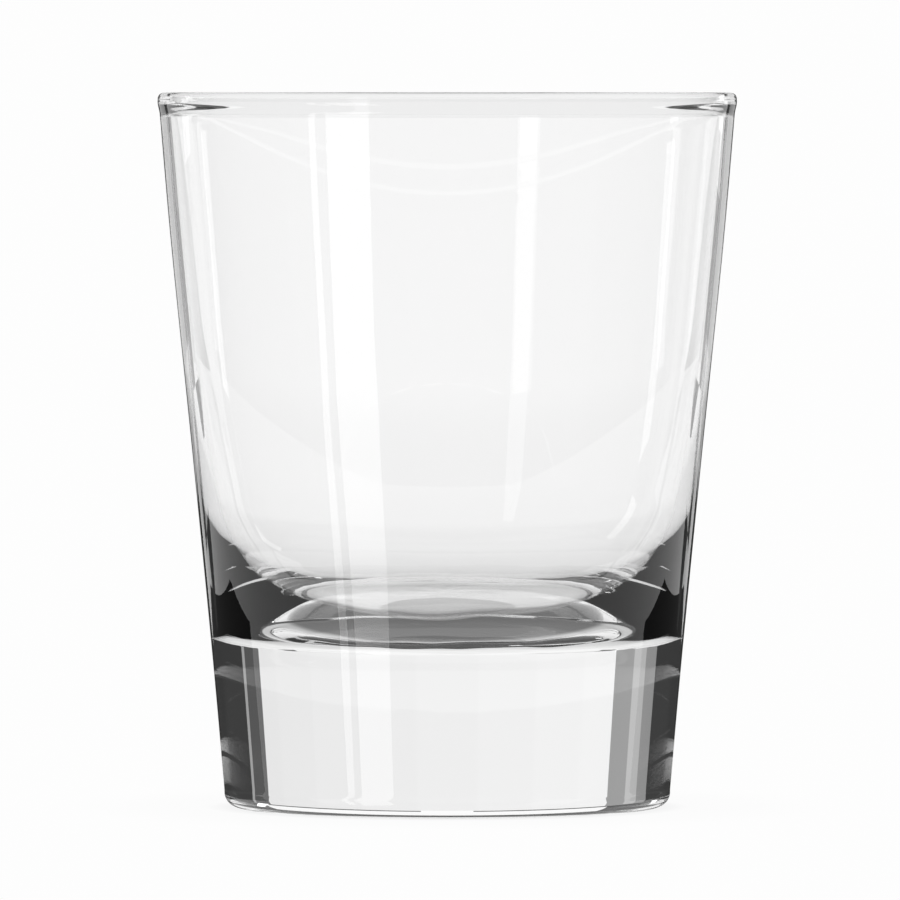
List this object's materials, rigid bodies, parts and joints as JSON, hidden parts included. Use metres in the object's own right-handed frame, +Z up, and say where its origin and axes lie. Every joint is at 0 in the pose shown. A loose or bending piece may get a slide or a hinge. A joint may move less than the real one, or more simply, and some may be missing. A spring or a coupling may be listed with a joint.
{
  "type": "whiskey tumbler",
  "caption": "Clear glass whiskey tumbler with a thick solid base, a flared thin wall and a rounded rim, open at the top.",
  "frame": {"origin": "centre of the flat face that the tumbler stands on", "axes": "+Z up along the axis that the tumbler is turned about, towards the rim; X and Y are equal"},
  "size_m": [0.085, 0.085, 0.105],
  "materials": {
    "clear_glass": "clear, colourless, fire-polished smooth"
  },
  "bodies": {
    "root": {"glass_body": "clear_glass"}
  },
  "joints": []
}
